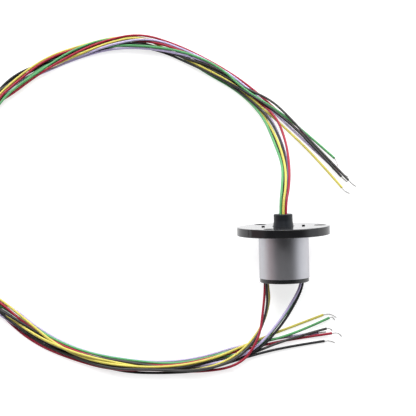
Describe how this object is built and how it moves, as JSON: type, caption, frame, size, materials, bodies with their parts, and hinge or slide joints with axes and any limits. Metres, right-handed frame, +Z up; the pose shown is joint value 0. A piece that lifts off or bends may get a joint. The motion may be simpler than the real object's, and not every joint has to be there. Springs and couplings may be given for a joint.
{
  "type": "slip ring",
  "caption": "Miniature capsule slip ring: round flange with mounting holes, short labelled body, hollow rotor stem, and a bundle of coloured leads with stripped ends from each side.",
  "frame": {"origin": "centre of the object's box at the surface it lies on, leads not counted", "axes": "+Z up from the surface; +X to the right, across the spin axis; +Y away from the camera, the way the stem points along the surface. The spin axis is in the YZ plane, tilted 25.1 degrees up from +Y."},
  "size_m": [0.1288, 0.0916, 0.0206],
  "materials": {
    "housing_black": "glossy moulded plastic",
    "cap_black": "satin moulded plastic",
    "stem_black": "satin moulded plastic",
    "potting_black": "cast epoxy",
    "label_silver": "bare metallised foil, satin",
    "contact_gold": "gold-plated contact metal",
    "board_green": "glass-epoxy board",
    "bearing_steel": "polished bearing steel",
    "spring_steel": "spring steel",
    "tinned_wire": "tinned copper strands",
    "lead_black": "smooth extruded insulation",
    "lead_grey": "smooth extruded insulation",
    "lead_red": "smooth extruded insulation",
    "lead_yellow": "smooth extruded insulation",
    "lead_green": "smooth extruded insulation",
    "lead_lavender": "smooth extruded insulation"
  },
  "bodies": {
    "stator": {"housing_flange": "housing_black", "foil_label": "label_silver", "rear_cap": "cap_black", "brush_board_left": "board_green", "brush_board_right": "board_green", "brush_1": "contact_gold", "brush_2": "contact_gold", "brush_3": "contact_gold", "brush_4": "contact_gold", "brush_5": "contact_gold", "brush_6": "contact_gold", "front_bearing_outer": "bearing_steel", "front_bearing_balls": "bearing_steel", "rear_bearing_outer": "bearing_steel", "rear_bearing_balls": "bearing_steel", "stator_lead_black": "lead_black", "stator_lead_grey": "lead_grey", "stator_lead_red": "lead_red", "stator_lead_yellow": "lead_yellow", "stator_lead_green": "lead_green", "stator_lead_lavender": "lead_lavender", "stator_tip_black": "tinned_wire", "stator_tip_grey": "tinned_wire", "stator_tip_red": "tinned_wire", "stator_tip_yellow": "tinned_wire", "stator_tip_green": "tinned_wire", "stator_tip_lavender": "tinned_wire"},
    "rotor": {"rotor_shaft": "stem_black", "potting_plug": "potting_black", "contact_ring_1": "contact_gold", "contact_ring_2": "contact_gold", "contact_ring_3": "contact_gold", "contact_ring_4": "contact_gold", "contact_ring_5": "contact_gold", "contact_ring_6": "contact_gold", "core_wire_black": "tinned_wire", "core_wire_grey": "tinned_wire", "core_wire_red": "tinned_wire", "core_wire_yellow": "tinned_wire", "core_wire_green": "tinned_wire", "core_wire_lavender": "tinned_wire", "front_bearing_inner": "bearing_steel", "rear_bearing_inner": "bearing_steel", "shim_washer": "spring_steel", "retaining_clip": "spring_steel", "rotor_lead_black": "lead_black", "rotor_lead_grey": "lead_grey", "rotor_lead_red": "lead_red", "rotor_lead_yellow": "lead_yellow", "rotor_lead_green": "lead_green", "rotor_lead_lavender": "lead_lavender", "rotor_tip_black": "tinned_wire", "rotor_tip_grey": "tinned_wire", "rotor_tip_red": "tinned_wire", "rotor_tip_yellow": "tinned_wire", "rotor_tip_green": "tinned_wire", "rotor_tip_lavender": "tinned_wire"}
  },
  "joints": [
    {"name": "rotor_spin", "type": "hinge", "parent": "stator", "child": "rotor", "pos_m": [0, 0.00302, 0.0099], "axis": [0, 0.9056, 0.4242], "continuous": true}
  ]
}
